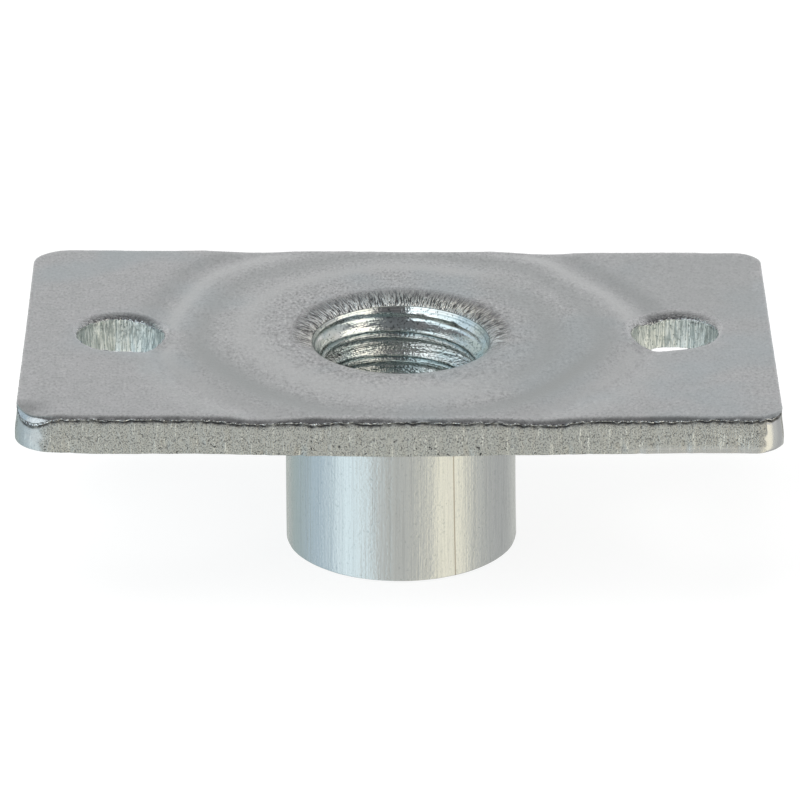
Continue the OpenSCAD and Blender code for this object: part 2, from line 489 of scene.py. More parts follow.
def add_hole(side, seed, lean, hang):
    """Adds one screw hole's roll and wall. On the side towards +Y, where the slug tore off late, `lean`
    moves the wall's foot inwards and `hang` draws it below the underside as a burr."""
    fine_n = (end_block_n + middle_n) // 2
    centre, cut_r, roll_w = hole_centre[side], punch_r[side], hole_roll[side]
    half_turn = 0 if side > 0 else np.pi
    plan, _ = ring_points(cut_r + roll_w + 0.02, fine_n, end_start_angle(2) + half_turn, centre)
    start = add_points(stack(plan[:, 0], plan[:, 1], face_height(plan[:, 0], plan[:, 1], True)))
    _, angle = ring_points(1.0, fine_n // 2, end_start_angle(2) + half_turn)
    way_x, way_y = np.cos(angle)[None, :], np.sin(angle)[None, :]
    edge = stack(centre[0] + cut_r * way_x, centre[1] + cut_r * way_y, 0.0)
    out_x, out_y = centre[0] + (cut_r + roll_w) * way_x, centre[1] + (cut_r + roll_w) * way_y
    top = face_height(out_x, out_y, True)
    under = face_height(edge[..., 0], edge[..., 1], False)
    late = smooth_step(way_y, 0.0, 0.8)
    run, drop = roll_curve(arc)
    ragged = hole_ragged_height * smooth_step(arc, 0.5, 1.0)
    wideness = near_roll_share + (1 - near_roll_share) * smooth_step(way_y, -0.2, 0.85)
    depth = (hole_down + uneven(edge, down_wander, seed)) * wideness
    roll_r = cut_r + roll_w * wideness * (1 - run) + ragged * ripple(edge, 0.4, seed + 1)
    roll_z = top - depth * drop + ragged * ripple(edge, 0.45, seed + 2)
    fall = np.linspace(0.06, 1, 12)[:, None]
    wall_z = roll_z[-1:] + (under - hang * late + 0.06 - roll_z[-1:]) * fall
    wall = stack(edge[..., 0], edge[..., 1], wall_z) * (1, 1, 0.16)
    furrows = furrow_depth * (0.4 + 0.6 * fall) * ripple(wall, 0.42, seed + 3)
    cracks = crack_depth * np.clip(ripple(wall, 0.5, seed + 4) - 1.1, 0, 1.5) * smooth_step(fall, 0.1, 0.6)
    wall_r = cut_r + wall_step_out + furrows + cracks - lean * fall * late
    foot_r = wall_r[-1:] + np.array([[0.03], [0.09], [0.25]])
    foot_z = under + np.array([[0.015], [0.0], [0.0]]) - hang * late * np.array([[1.0], [1.0], [0.0]])
    r = np.concatenate([roll_r, wall_r, foot_r])
    z = np.concatenate([roll_z, wall_z, foot_z])
    # The first row of the wall, under the lip, gets a little painted shade.
    shade_and_marks = 0 * r
    shade_and_marks[hole_roll_n : hole_roll_n + 1] = np.clip(0.1 + 0.3 * ripple(edge, 0.3, seed + 5), 0, 1)
    torn = 0 * r
    torn[:hole_roll_n] = 0.6 * smooth_step(arc, 0.2, 0.8)
    numbers = add_points(stack(centre[0] + r * way_x, centre[1] + r * way_y, z), shade_and_marks, torn)
    join_two_to_one(start, numbers[0], PLATE)
    add_grid(numbers[:hole_roll_n], ROLL)
    add_grid(numbers[hole_roll_n - 1 :], SCORED)
    foot = add_points(stack(out_x, out_y, face_height(out_x, out_y, False)))
    add_grid(np.concatenate([numbers[-1:], foot]), PLATE)


add_hole(1, seed=40, lean=0.06, hang=0.03)
add_hole(-1, seed=60, lean=0.16, hang=0.18)
add_face_blocks(4, collar_r + 0.5, 0.0, 8, top=False)
print("points with the holes and the underside:", skin["count"])

# %% [markdown]
# The mouth is where the sheet bends over the drawing punch. Its section turns down gently, then tightly,
# and stops where the tap's lead-in cone cuts it off. Its lower half is galled: the metal dragged over the
# punch and stood up in fine ridges that point to the axis, except at the front. The larger ridges are in
# the mesh, the hair-fine ones in the finish.

# %% Drawn mouth
bend_r, mouth_turn = 2.30, math.radians(40)
tilt_way, tilt_there = [0, 0.12, 0.22, 0.6, 0.85, 1], np.radians([0, 6, 17, 22, 34, 55])
near_flatness = 0.55
gall_height, gall_width, gall_r, gall_run, gall_waves = 0.012, 0.17, 6, 0.3, 40
bore_n = len(middle_frame(4, face_inset))
lead_in_r = mouth_r - bend_r * math.sin(mouth_turn)
lead_in_z = top_z - bend_r * (1 - math.cos(mouth_turn))

mouth_plan, _ = ring_points(1.0, 4 * bore_n, -0.75 * np.pi)
along_x, along_y = mouth_plan[:, 0][None, :], mouth_plan[:, 1][None, :]
way = np.concatenate([[0.0, 0.02, 0.05, 0.09, 0.14], np.linspace(0.2, 1, 11)])[:, None]
flatter = near_flatness * smooth_step(along_y, 0.2, -0.9) * smooth_step(way, 0.85, 0.6)
tilt = np.interp(way, tilt_way, tilt_there) * (1 - flatter)
gaps = np.diff(way, axis=0)
middle_tilt = 0.5 * (tilt[1:] + tilt[:-1])
inwards = np.concatenate([0 * tilt[:1], np.cumsum(gaps * np.cos(middle_tilt), axis=0)])
downwards = np.concatenate([0 * tilt[:1], np.cumsum(gaps * np.sin(middle_tilt), axis=0)])
inwards = inwards * (mouth_r - lead_in_r) / inwards[-1]
downwards = downwards * (top_z - lead_in_z) / downwards[-1]
mouth_lift = press_relief(mouth_r * along_x, mouth_r * along_y) * (1 - way)
ridges = ripple(stack(gall_r * along_x, gall_r * along_y, gall_run * way), gall_width, 31, gall_waves)
galled = smooth_step(along_y, -0.5, 0.05)
gall = gall_height * galled * smooth_step(way, 0.15, 0.5) * smooth_step(way, 1.0, 0.9) * ridges
radius = mouth_r - inwards - gall * np.sin(tilt)
height = top_z - downwards + gall * np.cos(tilt) + mouth_lift
mouth_points = stack(radius * along_x, radius * along_y, height)[1:]
mouth_torn = smooth_step(way[1:], 0.05, 0.6) * galled
# Painted shade on the upper part of the mouth's far side.
far_mouth_shade = 0.5 * bell(way[1:], 0.38, 0.22) * smooth_step(along_y, 0.1, 0.8)
mouth_numbers = add_points(mouth_points, far_mouth_shade, mouth_torn)
add_grid(mouth_numbers, MOUTH)
half_x, half_y = along_x[0, ::2], along_y[0, ::2]
edge_of_mouth = mouth_r * half_x, mouth_r * half_y
mouth_edge = add_points(stack(*edge_of_mouth, face_height(*edge_of_mouth, True)))
join_two_to_one(mouth_numbers[0], mouth_edge, PLATE)
print(f"mouth ends at radius {lead_in_r:.2f}, height {lead_in_z:.2f}")

# %% [markdown]
# The thread is a groove that climbs by one pitch a turn. At any place on the wall, its depth depends only
# on how far that place lies, along the axis, from the nearest turn of the groove, so the whole bore is one
# function of angle and height: the deepest of the thread, the lead-in cone and the exit chamfer. The rows
# of points climb with the groove, so that flanks come out clean, and step back by one pitch in a narrow
# strip at the front, where the function still holds.

# %% Threaded bore
pitch = 1.5
thread_r = bore_r + 0.64
crest_r = bore_r + 0.03
lead_in_half_angle = math.radians(30)
upper_flank_angle, lower_flank_angle = math.radians(43), math.radians(24)
root_place = 0.59
root_flat = pitch / 8
exit_r = bore_r + 0.85
first_crest_z, first_crest_angle = 0.22, math.radians(125)
upper_rows_per_pitch, lower_rows_per_pitch, deep_z = 24, 9, -2.9
step_back = 30 / 360
climb_ramp = 1.5
crest_seam_depth, crest_seam_w = 0.13, 0.10
trace_z, trace_w, trace_depth = 0.80, 0.045, 0.04
trace_share, trace_fades = 0.4, (2.6, 1.6)
wedge_starts, wedge_ends = (math.radians(46), math.radians(50)), (1.35, 1.05)
cone_lines, line_w, root_w = (1.36, 1.20), 0.035, 0.12
# Painted shade for the crest's seam and the groove's root; the cone's lines and the first trace are darkened
# too.
seam_shade, cone_line_dark, root_shade, trace_dark = 0.85, 0.5, 0.6, 0.7
groove_round, crest_round, cut_round = 0.035, 0.06, 0.012
chatter_size = (0.006, 0.35)


def soft_min(a, b, k):
    """-k ln(exp(-a/k) + exp(-b/k)): the smaller of two, its corner rounded over about k."""
    return -k * np.logaddexp(-a / k, -b / k)


def soft_max(a, b, k):
    """The larger of two, its corner rounded over about k."""
    return k * np.logaddexp(a / k, b / k)


def climb(angle):
    """Share of a pitch by which a row has climbed: straight up over most of a turn, and straight back
    through the strip at the front."""
    turned = ((angle + np.pi / 2) / (2 * np.pi)) % 1
    edge = step_back / 2
    return np.interp(turned, [0, edge, 1 - edge, 1], [0, edge - 0.5, 0.5 - edge, 0])


def thread_place(angle, z):
    """Signed distances along the axis, in mm, from the nearest crest and from the root of the groove: both
    follow the helix, which climbs by a pitch a turn."""
    crest_z = first_crest_z + pitch * (angle - first_crest_angle) / (2 * np.pi)
    share = (z - crest_z) / pitch % 1
    return pitch * ((share + 0.5) % 1 - 0.5), pitch * (share - root_place)


def first_trace(angle, z):
    """The tap's first trace on the cone: a hair line along the helix, and the dark wedge where it bit."""
    from_left = (angle - np.pi / 2 + np.pi) % (2 * np.pi) - np.pi
    line = z - trace_z - pitch * from_left / (2 * np.pi)
    wedge = smooth_step(from_left, *wedge_starts) * smooth_step(from_left, *wedge_ends)
    cut = (trace_share + (1 - trace_share) * wedge) * bell(line, 0, trace_w * (1 + wedge))
    return cut * smooth_step(abs(from_left), *trace_fades)


def bore_radius(angle, z):
    """The deepest of three cuts. The groove is a V, flat at its root, whose upper side is the flatter one.
    The crest is cut off at crest_r and carries a seam, where the two displaced lips met. The cone and the
    chamfer are straight lines of radius against height."""
    off_crest, off_root = thread_place(angle, z)
    steepness = np.where(off_root < 0, 1 / math.tan(upper_flank_angle), 1 / math.tan(lower_flank_angle))
    sharp = thread_r + root_flat
    groove = soft_min(sharp - abs(off_root) * steepness, 0 * z + thread_r, groove_round)
    seam = crest_seam_depth * bell(off_crest, 0, crest_seam_w)
    thread = soft_max(groove, crest_r + seam, crest_round)
    cone = lead_in_r + (z - lead_in_z) * math.tan(lead_in_half_angle)
    cone = cone + 0.5 * seam * smooth_step(z, 0.9, 0.3) + trace_depth * first_trace(angle, z)
    chamfer = exit_r - (z - collar_end_z)
    return soft_max(soft_max(thread, cone, cut_round), chamfer, cut_round)


def bore_shade_and_marks(angle, z):
    """Painted shade where the seam runs along the crest and at the root of the groove, and darker along the
    first trace and in two turning lines on the cone."""
    off_crest, off_root = thread_place(angle, z)
    seam = seam_shade * bell(off_crest, 0, crest_seam_w) * smooth_step(z, 0.9, 0.2)
    seam = seam + sum(cone_line_dark * bell(z, line, line_w) for line in cone_lines)
    root = root_shade * bell(off_root, 0, root_w) * smooth_step(z, 0.7, 0.3)
    return seam + root + trace_dark * first_trace(angle, z)


bore_plan, bore_angle = ring_points(1.0, bore_n, -0.75 * np.pi)
cone_start_z = lead_in_z - 0.06
upper_rows = int(round((cone_start_z - deep_z) / pitch * upper_rows_per_pitch))
lower_rows = int(round((deep_z - collar_end_z) / pitch * lower_rows_per_pitch))
level = np.concatenate([np.linspace(cone_start_z, deep_z, upper_rows + 1)[:-1],
                        np.linspace(deep_z, collar_end_z, lower_rows + 1)])[:, None]
free = smooth_step(level, cone_start_z, cone_start_z - climb_ramp)
free = free * smooth_step(level, collar_end_z, collar_end_z + climb_ramp)
bore_z = level + pitch * climb(bore_angle)[None, :] * free
bore_wall_r = bore_radius(bore_angle[None, :], bore_z)
chatter = stack(0.5 * bore_plan[:, 0], 0.5 * bore_plan[:, 1], bore_z)
bore_wall_r = bore_wall_r + uneven(chatter, chatter_size, seed=35) * free
bore_points = stack(bore_wall_r * bore_plan[:, 0], bore_wall_r * bore_plan[:, 1], bore_z)
on_cone = smooth_step(bore_z, 0.2, 0.5)
bore_numbers = add_points(bore_points, bore_shade_and_marks(bore_angle[None, :], bore_z), polish_and_sheen=on_cone)
add_grid(bore_numbers, THREAD)
cone_mid_r = 0.5 * (lead_in_r + bore_wall_r[0].mean())
cone_mid_points = stack(cone_mid_r * half_x, cone_mid_r * half_y, 0.5 * (lead_in_z + cone_start_z))
# Painted shade along the crease where the mouth meets the cone.
cone_mid = add_points(cone_mid_points, shade_and_marks=0.6, polish_and_sheen=1.0)
join_two_to_one(mouth_numbers[-1], cone_mid, THREAD)
join_two_to_one(cone_mid, bore_numbers[0], THREAD)
print("bore rows:", len(level), "points round:", bore_n)

# %% [markdown]
# The collar's outside was ironed: the die squeezed and dragged it, so it is close to a true cylinder, with
# flats and furrows a hundredth deep that run the whole way down. Its root keeps the die's radius. One
# profile of radius and height, carried round the axis, gives it all.

# %% Ironed collar
end_round, root_round = 0.08, 0.5
iron_depth = 0.007
quarter = np.radians(np.linspace(0, 90, 7))
end_ring_r = np.linspace(exit_r, collar_r - end_round, 4)
wall_heights = np.linspace(collar_end_z + end_round, -root_round, 22)[1:-1]
profile_r = np.concatenate([
    end_ring_r[:-1],
    collar_r - end_round + end_round * np.sin(quarter),
    0 * wall_heights + collar_r,
    collar_r + root_round * (1 - np.cos(quarter)),
])[:, None]
profile_z = np.concatenate([
    0 * end_ring_r[:-1] + collar_end_z,
    collar_end_z + end_round * (1 - np.cos(quarter)),
    wall_heights,
    -root_round + root_round * np.sin(quarter),
])[:, None]
around_x, around_y = bore_plan[:, 0][None, :], bore_plan[:, 1][None, :]
drawn = stack(collar_r * around_x, collar_r * around_y, 0.06 * profile_z)
outer_side = smooth_step(profile_r, collar_r - 0.5, collar_r - 0.1)
flats = iron_depth * (ripple(drawn, 2.6, seed=51) + 0.5 * ripple(drawn, 0.9, seed=52))
under_lift = face_height(profile_r * around_x, profile_r * around_y, False) * smooth_step(profile_z, -1.2, 0)
skin_r = profile_r + flats * outer_side
collar_points = stack(skin_r * around_x, skin_r * around_y, profile_z + under_lift)
collar_points[0] = stack(exit_r * around_x[0], exit_r * around_y[0], collar_end_z)
collar_points[-1, :, 0] = (collar_r + root_round) * around_x[0]
collar_points[-1, :, 1] = (collar_r + root_round) * around_y[0]
add_grid(add_points(collar_points), COLLAR)

# %% [markdown]
# The patches are now one list of points and faces. Before it becomes a mesh, in metres, the whole shape is
# bent by a few hundredths: the collar leans and widens towards its free end, which was trimmed a little out
# of square, and the plate's ends run slightly askew. Points that patches share are then merged, all faces
# are turned outwards together, and corners sharper than a smooth bend keep their crease in the shading.

# %% Weld the skin into one mesh
weld_gap = 0.0004
collar_lean, collar_flare, collar_slant, collar_tip = 0.08, 0.0058, 0.011, 0.007
left_skew, right_skew = 0.05, 0.04
skew_starts_x, skew_full_x, skew_back_y, skew_front_y = 15, 20.5, 4, -12
crease = math.radians(50)


def make_piece(name):
    """The gathered points times 0.001, welded where they lie closer than weld_gap, as one object that
    sits at the origin."""
    mesh = bpy.data.meshes.new(name)
    points = np.concatenate(skin["points"])
    down_collar = np.clip(points[:, 2] / collar_end_z, 0, 1) ** 3
    points[:, :2] *= 1 + collar_flare * down_collar[:, None]
    points[:, 0] += down_collar * collar_lean
    points[:, 2] += down_collar * (collar_slant * points[:, 0] - collar_tip * points[:, 1])
    rightward = smooth_step(points[:, 0], skew_starts_x, skew_full_x)
    points[:, 0] += right_skew * rightward * smooth_step(points[:, 1], skew_back_y, skew_front_y)
    leftward = smooth_step(points[:, 0], -skew_starts_x, -skew_full_x)
    points[:, 0] += left_skew * leftward * smooth_step(points[:, 1], skew_front_y, skew_back_y)
    mesh.from_pydata(points * MM, [], skin["faces"])
    wear_and_painted_light = np.concatenate(skin["wear_and_painted_light"]).ravel()
    mesh.attributes.new("wear_and_painted_light", "FLOAT_VECTOR", "POINT").data.foreach_set("vector", wear_and_painted_light)
    mesh.polygons.foreach_set("material_index", skin["finish"])
    mesh.polygons.foreach_set("use_smooth", [True] * len(mesh.polygons))
    welder = bmesh.new()
    welder.from_mesh(mesh)
    bmesh.ops.remove_doubles(welder, verts=welder.verts, dist=weld_gap * MM)
    bmesh.ops.recalc_face_normals(welder, faces=welder.faces)
    open_edges = sum(not e.is_manifold for e in welder.edges)
    volume = welder.calc_volume(signed=True) / MM**3
    if volume < 0:
        bmesh.ops.reverse_faces(welder, faces=welder.faces)
    welder.to_mesh(mesh)
    welder.free()
    mesh.set_sharp_from_angle(angle=crease)
    piece = bpy.data.objects.new(name, mesh)
    bpy.context.scene.collection.objects.link(piece)
    triangles = sum(len(p.vertices) - 2 for p in mesh.polygons)
    print(f"{name}: {triangles} triangles, {open_edges} open edges, {volume:.1f} mm3")
    return piece


tee_nut = make_piece("plated_tee_nut")
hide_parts("tee_nut")
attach(tee_nut, "root")

# %% [markdown]
# All finishes share one metal: bright zinc on steel. What tells them apart is the scale and direction of
# their relief, and how far it scatters light. Patterns read Object coordinates, in metres, so a Mapping
# node turns them into millimetres first, and squeezes one axis where a pattern runs in streaks.

# %% Helpers: nodes for the finishes
def put(tree, socket, value):
    """Another node's output is linked to the socket. A number or a colour becomes the socket's own value."""
    if isinstance(value, bpy.types.NodeSocket):
        tree["links"].new(value, socket)
    else:
        socket.default_value = (*value, 1.0) if socket.type == "RGBA" else value


def tree_of(owner):
    """Switches on the nodes of a material or a world, and hands them out with their links."""
    owner.use_nodes = True
    return {"nodes": owner.node_tree.nodes, "links": owner.node_tree.links}


def node(tree, kind, inputs, **settings):
    """Adds a node of one kind and fills its inputs, each by name or number. It gives the node's outputs."""
    made = tree["nodes"].new("ShaderNode" + kind)
    for name, value in settings.items():
        setattr(made, name, value)
    for name, value in inputs.items():
        put(tree, made.inputs[name], value)
    return made.outputs


def feed(finish, socket, value):
    """Sets one of the Principled node's sockets."""
    put(finish, finish["shader"].inputs[socket], value)


def new_finish(name, base, roughness):
    """A metal material with its Principled node, and the object's coordinates, which are in metres."""
    material = bpy.data.materials.new(name)
    finish = tree_of(material)
    finish["material"] = material
    finish["shader"] = finish["nodes"]["Principled BSDF"]
    finish["object"] = node(finish, "TexCoord", {})["Object"]
    for socket, value in (("Metallic", 1.0), ("Roughness", roughness), ("Base Color", base)):
        feed(finish, socket, value)
    return finish


def scaled(finish, per_mm):
    """The object's coordinates times (x, y, z) cycles a millimetre."""
    rates = tuple(v / MM for v in per_mm)
    return node(finish, "Mapping", {"Vector": finish["object"], "Scale": rates})["Vector"]


def noise(finish, cells, detail, roughness):
    """Noise of 0 to 1. Three numbers give its cells a millimetre along X, Y and Z, and a node's output is
    read as it stands, one cell to a unit. Detail adds finer layers, roughness makes them stronger."""
    vector = scaled(finish, cells) if isinstance(cells, tuple) else cells
    inputs = {"Vector": vector, "Scale": 1.0, "Detail": detail, "Roughness": roughness}
    return node(finish, "TexNoise", inputs)["Fac"]


def remap(tree, value, start, end, low=0.0, high=1.0):
    """Takes start..end to low..high in a soft S curve, held level outside."""
    inputs = {"Value": value, "From Min": start, "From Max": end, "To Min": low, "To Max": high}
    return node(tree, "MapRange", inputs, interpolation_type="SMOOTHSTEP")["Result"]


def between(tree, amount, at_zero, at_one):
    """Goes from one number to another as the amount goes from 0 to 1."""
    return remap(tree, amount, 0.0, 1.0, at_zero, at_one)


def calculate(tree, operation, first, second=0.0):
    """One Math node on other nodes' outputs or plain numbers."""
    return node(tree, "Math", {0: first, 1: second}, operation=operation)[0]


def times(tree, first, second):
    """The product of two values."""
    return calculate(tree, "MULTIPLY", first, second)


def vectors(tree, operation, *inputs):
    """One Vector Math node. A length and a dot product give a number, all else gives a vector."""
    kind = "Value" if operation in ("LENGTH", "DOT_PRODUCT") else "Vector"
    return node(tree, "VectorMath", dict(enumerate(inputs)), operation=operation)[kind]


def mix(tree, amount, first, second):
    """Mixes two colours, each plain or another node's output, by an amount of 0 to 1."""
    return node(tree, "Mix", {0: amount, 6: first, 7: second}, data_type="RGBA")[2]


def paint(finish, shade, *coats):
    """Lays coats over a shade, one after another, each an amount of 0 to 1 and a colour."""
    for amount, colour in coats:
        shade = mix(finish, amount, shade, colour)
    return shade


def relief(finish, height, depth_mm, below=None):
    """A Bump node that raises the surface by up to depth_mm where height is 1, on top of an earlier one."""
    inputs = {"Strength": 1.0, "Distance": depth_mm * MM, "Height": height}
    if below is not None:
        inputs["Normal"] = below
    raised = node(finish, "Bump", inputs)["Normal"]
    feed(finish, "Normal", raised)
    return raised


def wear_and_painted_light(finish, part):
    """One of the three numbers that the mesh carries at its points, picked by name: the painted shade and
    dark marks, the torn relief, and the polish with painted sheen.
    """
    marks = node(finish, "Attribute", {}, attribute_name="wear_and_painted_light")["Vector"]
    return node(finish, "SeparateXYZ", {0: marks})[("shade_and_marks", "torn", "polish_and_sheen").index(part)]


def along(finish, axis):
    """The object's coordinate along X, Y or Z, in metres."""
    return node(finish, "SeparateXYZ", {0: finish["object"]})[axis]


zinc = (0.605, 0.608, 0.618)
zinc_bright, zinc_dim, zinc_dark = (0.62, 0.63, 0.63), (0.55, 0.56, 0.565), (0.36, 0.365, 0.37)
# The last colour here is near-black painted shade for the steps under the lips.
zinc_teal, zinc_straw, crease_shade = (0.50, 0.57, 0.60), (0.62, 0.60, 0.55), (0.035, 0.035, 0.04)

# %% [markdown]
# The plate's faces are cold-rolled sheet under zinc: satin, with a fine grain and soft clouds. A blue-green
# film a few atoms thick tints it in patches. In each cell below, the colours and the depths of the relief,
# in millimetres, are named first, and the function then lays them over each other.

# %% Finish: plate faces
# The two ring colours are painted shade and painted sheen for the draw rings.
zinc_glint, painted_ring_shade, painted_ring_sheen = (0.76, 0.77, 0.77), (0.47, 0.49, 0.49), (0.68, 0.69, 0.69)
cloud_relief, grain_relief = 0.008, 0.020
calm_r, lively_r, calm_share = 15.0, 8.0, 0.5


def satin_zinc(finish):
    """The satin face's colour and relief, which the roll and the mouth carry on from it: fine grain, twice
    as strong round the mouth, over faint clouds, and tinted by a slow film."""
    flat = vectors(finish, "MULTIPLY", finish["object"], (1 / MM, 1 / MM, 0.0))
    from_axis = vectors(finish, "LENGTH", flat)
    near_mouth = remap(finish, from_axis, calm_r, lively_r, calm_share, 1.0)
    clouds = noise(finish, (1.1, 1.1, 1.1), 4.0, 0.6)
    grain = noise(finish, (5.5, 5.5, 5.5), 4.0, 0.7)
    speck = noise(finish, (6.5, 4.0, 6.5), 2.0, 0.6)
    tint = noise(finish, (0.16, 0.16, 0.16), 2.0, 0.5)
    spots = times(finish, remap(finish, speck, 0.50, 0.32), near_mouth)
    glints = times(finish, remap(finish, speck, 0.54, 0.70), near_mouth)
    film = remap(finish, tint, 0.50, 0.70, 0.0, 0.45)
    shade = mix(finish, remap(finish, clouds, 0.30, 0.70), zinc_dim, zinc)
    shade = paint(finish, shade, (spots, zinc_dark), (glints, zinc_glint), (film, zinc_teal))
    below = relief(finish, clouds, cloud_relief)
    return shade, relief(finish, times(finish, grain, near_mouth), grain_relief, below)


def make_plate_finish():
    """The satin look, with painted shade on the draw rings and painted sheen between them and round the
    mouth.
    """
    finish = new_finish("satin_zinc_plate", zinc, 0.32)
    shade, _ = satin_zinc(finish)
    rings = (wear_and_painted_light(finish, "shade_and_marks"), painted_ring_shade), (wear_and_painted_light(finish, "polish_and_sheen"), painted_ring_sheen)
    feed(finish, "Base Color", paint(finish, shade, *rings))
    return finish["material"]


# %% [markdown]
# Where the punch pulled the sheet down, its skin stretched smooth, and at the lip it broke up. A darker
# colour alone would look flat there, so coarse grain is raised too, with painted shade in its hollows and
# painted sparkle on its tops.

# %% Finish: rolled edge
roll_hollow_shade, roll_spark = (0.13, 0.125, 0.13), (0.98, 0.98, 0.97)
roll_relief = 0.11


def make_roll_finish():
    """The satin look pulled smooth. Towards the lip coarse grain stands up, with painted shade in its hollows
    and painted sparkle on its tops, and painted shade darkens the crease at the lip."""
    finish = new_finish("rolled_zinc_edge", zinc, 0.16)
    shade, below = satin_zinc(finish)
    torn = wear_and_painted_light(finish, "torn")
    coarse = noise(finish, (7.5, 7.5, 9.0), 1.0, 0.5)
    sparks = noise(finish, (5.0, 5.0, 9.0), 1.0, 0.5)
    relief(finish, times(finish, coarse, torn), roll_relief, below)
    # Towards the lip: painted shade in the grain's hollows and painted sparkle on its tops.
    hollow_shade = times(finish, remap(finish, coarse, 0.56, 0.46), torn)
    bright = times(finish, remap(finish, sparks, 0.56, 0.62), torn)
    coats = (hollow_shade, roll_hollow_shade), (bright, roll_spark), (wear_and_painted_light(finish, "shade_and_marks"), crease_shade)
    feed(finish, "Base Color", paint(finish, shade, *coats))
    return finish["material"]


# %% [markdown]
# The face of the edge is raw metal, cut and then torn. Noise read in space keeps one scale along the sides
# and round the corners, and the mesh itself says where the die burnished the metal smooth.

# %% Finish: sheared edge
sheared_grey, sheared_streak, sheared_polish = (0.555, 0.548, 0.520), (0.80, 0.79, 0.74), (0.64, 0.64, 0.645)
sheared_spot, sheared_pit = (0.22, 0.22, 0.215), (0.08, 0.08, 0.08)
streak_relief, torn_relief, torn_left = 0.015, 0.060, 0.10
pits_from_z, pits_full_z, pits_gain = 1.2, 0.1, 0.045


def make_sheared_finish():
    """Grain of torn metal with a few thin upright streaks, and small dark pits, closer together towards the
    foot. Where the die burnished it, at the corners, the grain is pressed flat and it shines."""
    finish = new_finish("sheared_zinc_edge", zinc_straw, 0.40)
    streaks = noise(finish, (7.0, 7.0, 0.6), 2.0, 0.6)
    grain = noise(finish, (13.5, 13.5, 12.0), 2.0, 0.6)
    pits = noise(finish, (6.5, 6.5, 5.5), 2.0, 0.5)
    polish_and_sheen = wear_and_painted_light(finish, "polish_and_sheen")
    raw = between(finish, polish_and_sheen, 1.0, 0.0)
    foot = remap(finish, along(finish, "Z"), pits_from_z * MM, pits_full_z * MM, 0.0, pits_gain)
    spots = times(finish, remap(finish, grain, 0.54, 0.34), raw)
    deep = times(finish, remap(finish, calculate(finish, "ADD", pits, foot), 0.70, 0.75), raw)
    shade = mix(finish, remap(finish, streaks, 0.57, 0.70), sheared_grey, sheared_streak)
    shade = paint(finish, shade, (spots, sheared_spot), (deep, sheared_pit), (polish_and_sheen, sheared_polish))
    # Painted shade darkens the step under the lip.
    feed(finish, "Base Color", mix(finish, wear_and_painted_light(finish, "shade_and_marks"), shade, crease_shade))
    feed(finish, "Roughness", between(finish, raw, 0.16, 0.40))
    below = relief(finish, times(finish, streaks, raw), streak_relief)
    relief(finish, times(finish, grain, between(finish, raw, torn_left, 1.0)), torn_relief, below)
    return finish["material"]


# %% [markdown]
# The punch drags upright furrows down the wall of each hole. They are one noise, squeezed along Z, which
# sets the colour and the relief together: painted shade at each furrow's bottom, a painted highlight at
# its top.

# %% Finish: wall of the screw holes
furrow_shade, furrow_highlight, scored_spot = (0.47, 0.51, 0.505), (0.93, 0.95, 0.93), (0.26, 0.30, 0.29)
furrow_relief, scored_relief = 0.055, 0.040


def make_scored_finish():
    """Upright furrows drawn by the punch, their bottoms in painted shade and their tops in painted highlight,
    with a thin blue-green film and painted shade under the lip.
    """
    finish = new_finish("scored_hole_wall", zinc_straw, 0.42)
    furrows = noise(finish, (11.0, 11.0, 0.7), 3.0, 0.6)
    grain = noise(finish, (11.0, 11.0, 5.0), 2.0, 0.6)
    shade = mix(finish, remap(finish, furrows, 0.40, 0.60), furrow_shade, furrow_highlight)
    coats = (remap(finish, grain, 0.42, 0.30), scored_spot), (wear_and_painted_light(finish, "shade_and_marks"), crease_shade)
    feed(finish, "Base Color", paint(finish, shade, *coats))
    relief(finish, grain, scored_relief, relief(finish, furrows, furrow_relief))
    return finish["material"]


# %% [markdown]
# The metal that dragged over the punch stands up in ridges finer than the mesh. They point to the axis all
# round, so they are noise over the direction from the axis, which plain noise over the place can't give.
# Their hollows are painted shade and their tops painted highlights.

# %% Finish: drawn mouth
# The dark and pale hair colours are painted shade and painted highlight; the third colour is painted shade
# for the band.
comb_shade, comb_highlight, mouth_band_shade = (0.11, 0.11, 0.115), (1.0, 1.0, 0.98), (0.26, 0.26, 0.265)
comb_share, combs_round = 0.90, 70.0
galled_relief, comb_relief = 0.045, 0.20


def make_mouth_finish():
    """The satin look, roughened, with hair-fine ridges that point to the axis: noise over the direction from
    the axis, which changes fast round the mouth and slowly down it. The ridges' hollows are painted shade
    and their tops painted highlights, and painted shade darkens the upper band on the far side."""
    finish = new_finish("galled_zinc_mouth", zinc, 0.20)
    flat = vectors(finish, "MULTIPLY", finish["object"], (1.0, 1.0, 0.0))
    heading = vectors(finish, "NORMALIZE", flat)
    fine = vectors(finish, "MULTIPLY_ADD", heading, (combs_round,) * 3, scaled(finish, (1.6, 1.6, 3.2)))
    hairs = noise(finish, fine, 2.0, 0.6)
    coarse = noise(finish, (6.0, 6.0, 6.0), 3.0, 0.7)
    lower = wear_and_painted_light(finish, "torn")
    shade, below = satin_zinc(finish)
    combed = mix(finish, remap(finish, hairs, 0.43, 0.53), comb_shade, comb_highlight)
    coats = (times(finish, lower, comb_share), combed), (wear_and_painted_light(finish, "shade_and_marks"), mouth_band_shade)
    feed(finish, "Base Color", paint(finish, shade, *coats))
    feed(finish, "Roughness", between(finish, lower, 0.28, 0.14))
    below = relief(finish, coarse, galled_relief, below)
    relief(finish, times(finish, hairs, lower), comb_relief, below)
    return finish["material"]


# %% [markdown]
# A tap leaves bright flanks with fine lines across the axis, and painted shade darkens the seams and the
# root. The lead-in cone shines most: it is smoother, and its paler colours are a painted highlight. The
# mesh marks the cone as polish, so that one finish serves the whole bore.

# %% Finish: cut thread
thread_plain, thread_film = (0.74, 0.75, 0.73), (0.57, 0.66, 0.67)
